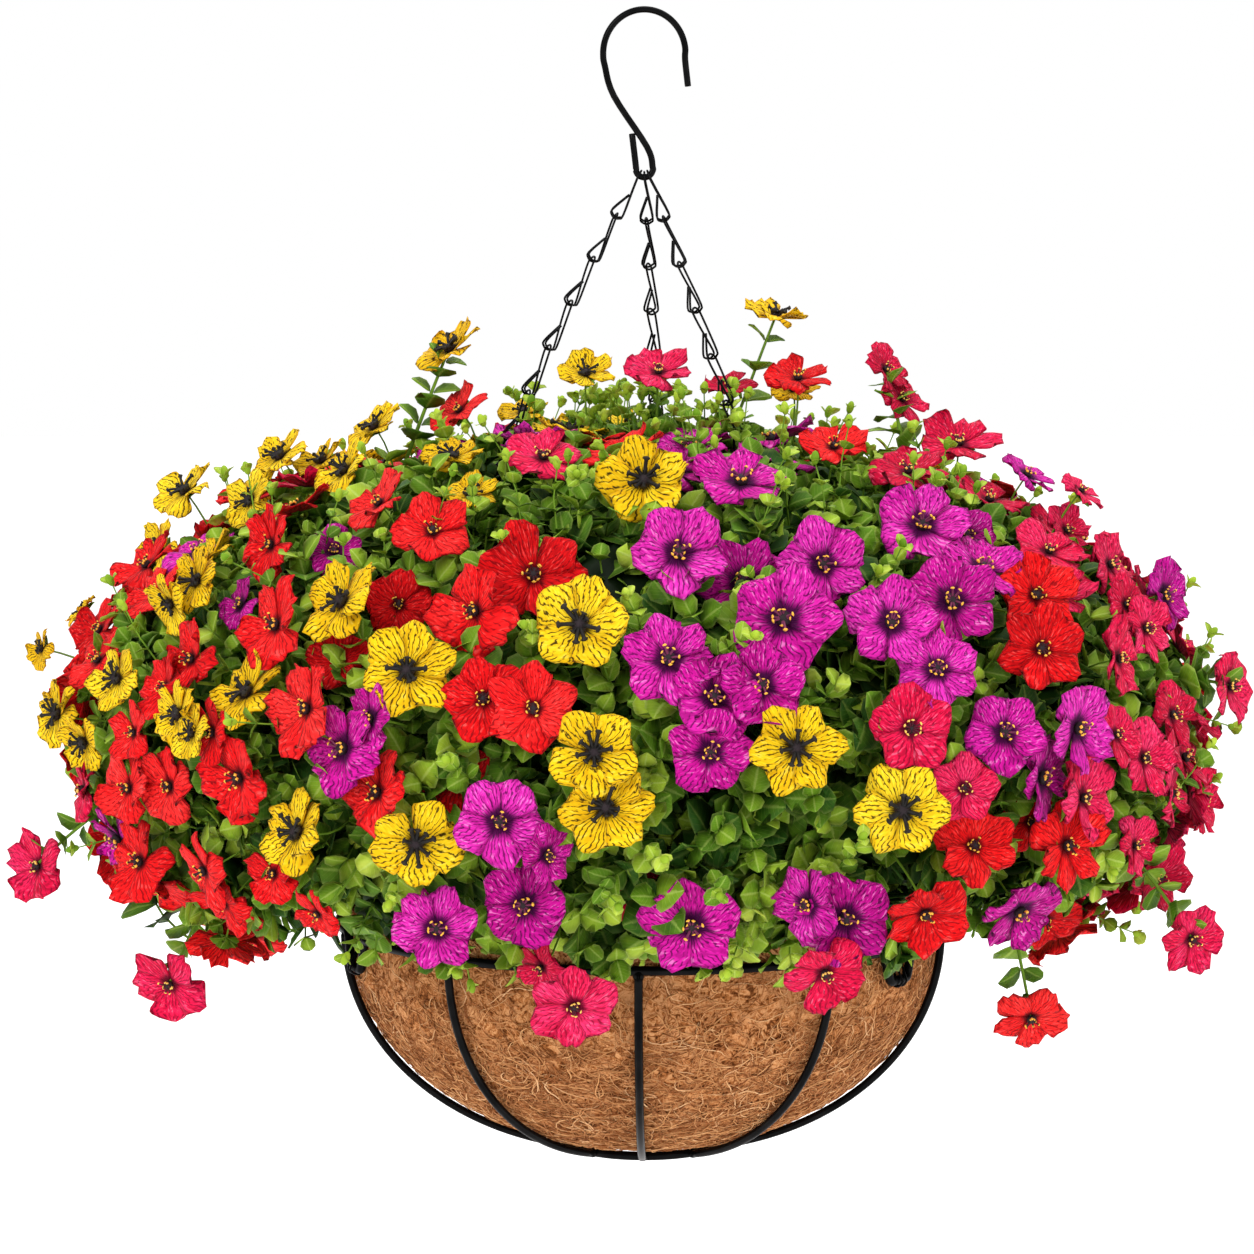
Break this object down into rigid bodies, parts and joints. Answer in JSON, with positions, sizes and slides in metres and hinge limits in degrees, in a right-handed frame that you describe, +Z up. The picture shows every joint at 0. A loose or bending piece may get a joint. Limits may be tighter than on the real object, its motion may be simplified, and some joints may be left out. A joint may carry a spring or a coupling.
{
  "type": "hanging basket",
  "caption": "Round wire hanging basket on chains and an S-hook, lined with coir and filled with flowering trailing plants.",
  "frame": {"origin": "the hang point: the inside top of the S-hook's upper bend", "axes": "+Z up, -Y is the front seen in the picture, +X is its right; the hook lies in the plane of X and Z"},
  "size_m": [0.6046, 0.5114, 0.5655],
  "materials": {
    "black_coated_steel": "gloss",
    "coir": "matte",
    "foam": "matte",
    "plant_leaf": "satin",
    "plant_pink": "matte",
    "plant_red": "matte",
    "plant_yellow": "matte",
    "plant_purple": "matte"
  },
  "bodies": {
    "hook": {"s_hook": "black_coated_steel"},
    "basket": {"bottom_ring": "black_coated_steel", "bush_01": "plant_pink", "bush_02": "plant_pink", "bush_03": "plant_red", "bush_04": "plant_yellow", "bush_05": "plant_yellow", "bush_06": "plant_red", "bush_07": "plant_yellow", "bush_08": "plant_red", "bush_09": "plant_purple", "bush_centre": "plant_leaf", "chain_back_link_01": "black_coated_steel", "chain_back_link_02": "black_coated_steel", "chain_back_link_03": "black_coated_steel", "chain_back_link_04": "black_coated_steel", "chain_back_link_05": "black_coated_steel", "chain_back_link_06": "black_coated_steel", "chain_back_link_07": "black_coated_steel", "chain_back_link_08": "black_coated_steel", "chain_back_lower_run": "black_coated_steel", "chain_left_link_01": "black_coated_steel", "chain_left_link_02": "black_coated_steel", "chain_left_link_03": "black_coated_steel", "chain_left_link_04": "black_coated_steel", "chain_left_link_05": "black_coated_steel", "chain_left_link_06": "black_coated_steel", "chain_left_link_07": "black_coated_steel", "chain_left_link_08": "black_coated_steel", "chain_left_lower_run": "black_coated_steel", "chain_right_link_01": "black_coated_steel", "chain_right_link_02": "black_coated_steel", "chain_right_link_03": "black_coated_steel", "chain_right_link_04": "black_coated_steel", "chain_right_link_05": "black_coated_steel", "chain_right_link_06": "black_coated_steel", "chain_right_link_07": "black_coated_steel", "chain_right_link_08": "black_coated_steel", "chain_right_lower_run": "black_coated_steel", "coir_liner": "coir", "foam_block": "foam", "rib_01": "black_coated_steel", "rib_02": "black_coated_steel", "rib_03": "black_coated_steel", "rib_04": "black_coated_steel", "rib_05": "black_coated_steel", "rib_06": "black_coated_steel", "rib_07": "black_coated_steel", "rib_08": "black_coated_steel", "rib_09": "black_coated_steel", "rib_10": "black_coated_steel", "rim_ring": "black_coated_steel"},
    "spray_drooping": {"spray_drooping": "plant_red"},
    "spray_far_left": {"spray_far_left": "plant_pink"},
    "spray_far_right": {"spray_far_right": "plant_pink"},
    "spray_low_left": {"spray_low_left": "plant_pink"},
    "spray_low_right": {"spray_low_right": "plant_pink"},
    "spray_top_left": {"spray_top_left": "plant_yellow"},
    "spray_top_middle": {"spray_top_middle": "plant_yellow"},
    "spray_top_right": {"spray_top_right": "plant_red"}
  },
  "joints": [
    {"name": "basket_swing", "type": "hinge", "parent": "hook", "child": "basket", "pos_m": [0, 0, -0.0802], "axis": [1, 0, 0], "range_deg": [-18, 18]},
    {"name": "drooping_flex", "type": "hinge", "parent": "basket", "child": "spray_drooping", "pos_m": [0.16804, -0.09117, -0.40764], "axis": [-0.9152, -0.4031, 0], "range_deg": [-12, 12], "stiffness_Nm_per_rad": 0.02},
    {"name": "far_left_flex", "type": "hinge", "parent": "basket", "child": "spray_far_left", "pos_m": [-0.24926, -0.01554, -0.37872], "axis": [-0.0841, 0.9965, 0], "range_deg": [-12, 12], "stiffness_Nm_per_rad": 0.02},
    {"name": "far_right_flex", "type": "hinge", "parent": "basket", "child": "spray_far_right", "pos_m": [0.25367, -0.06708, -0.32081], "axis": [-0.1972, -0.9804, 0], "range_deg": [-12, 12], "stiffness_Nm_per_rad": 0.02},
    {"name": "low_left_flex", "type": "hinge", "parent": "basket", "child": "spray_low_left", "pos_m": [-0.20376, -0.03961, -0.41184], "axis": [-0.5477, 0.8367, 0], "range_deg": [-12, 12], "stiffness_Nm_per_rad": 0.02},
    {"name": "low_right_flex", "type": "hinge", "parent": "basket", "child": "spray_low_right", "pos_m": [0.22479, -0.07886, -0.39609], "axis": [-0.3954, -0.9185, 0], "range_deg": [-12, 12], "stiffness_Nm_per_rad": 0.02},
    {"name": "top_left_flex", "type": "hinge", "parent": "basket", "child": "spray_top_left", "pos_m": [-0.11608, -0.00224, -0.21531], "axis": [0.1364, -0.9906, 0], "range_deg": [-12, 12], "stiffness_Nm_per_rad": 0.02},
    {"name": "top_middle_flex", "type": "hinge", "parent": "basket", "child": "spray_top_middle", "pos_m": [0.02861, 0.01262, -0.2466], "axis": [0.4036, -0.9149, 0], "range_deg": [-12, 12], "stiffness_Nm_per_rad": 0.02},
    {"name": "top_right_flex", "type": "hinge", "parent": "basket", "child": "spray_top_right", "pos_m": [0.13065, -0.01736, -0.22877], "axis": [0.8531, 0.5218, 0], "range_deg": [-12, 12], "stiffness_Nm_per_rad": 0.02}
  ]
}
